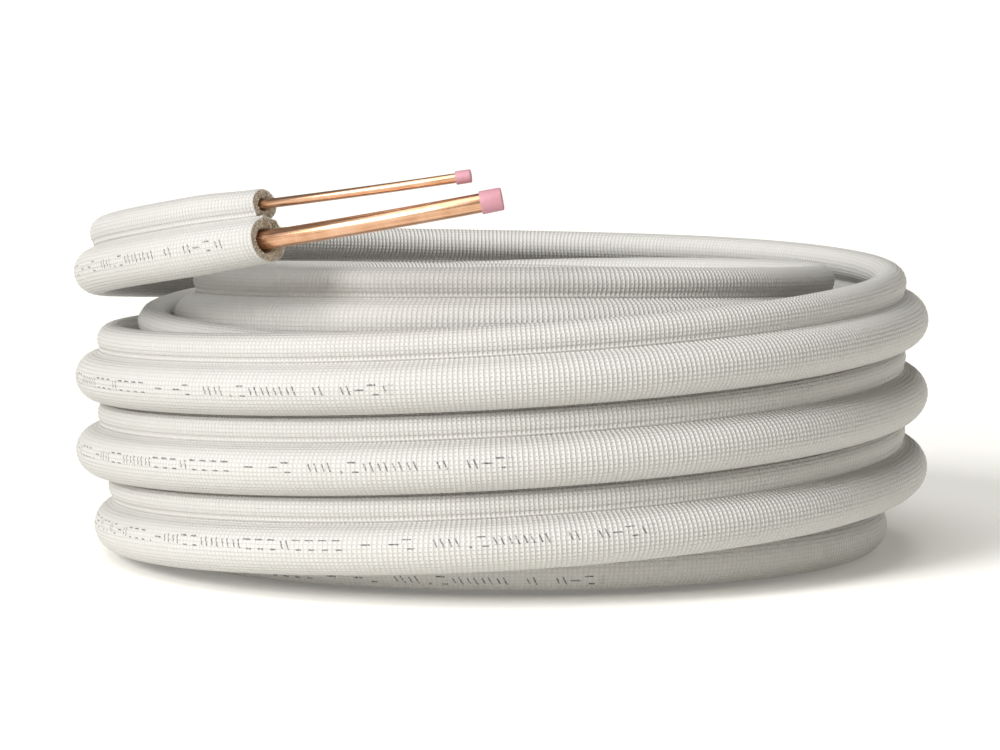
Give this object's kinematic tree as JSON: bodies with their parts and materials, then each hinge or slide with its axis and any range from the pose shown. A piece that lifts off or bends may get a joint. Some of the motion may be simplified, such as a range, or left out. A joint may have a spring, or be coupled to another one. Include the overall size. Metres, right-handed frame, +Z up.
{
  "type": "mini split line set",
  "caption": "Coil of a small and a large copper pipe, each in a white foam sleeve, side by side, with pink push caps on the bare copper ends.",
  "frame": {"origin": "on the floor, under the axis of the coil", "axes": "+Z up along the axis of the coil, -Y towards the front, where the bare copper ends run to +X"},
  "size_m": [0.6181, 0.618, 0.2869],
  "materials": {
    "foam": "white embossed skin on closed-cell foam, matte",
    "copper": "soft drawn copper, satin, a little streaked",
    "caps": "soft pink plastic"
  },
  "bodies": {
    "root": {"large_insulation": "foam", "small_insulation": "foam", "large_pipe": "copper", "small_pipe": "copper", "large_pipe_tail": "copper", "small_pipe_tail": "copper", "large_pipe_cap": "caps", "small_pipe_cap": "caps", "large_tail_cap": "caps", "small_tail_cap": "caps"}
  },
  "joints": []
}
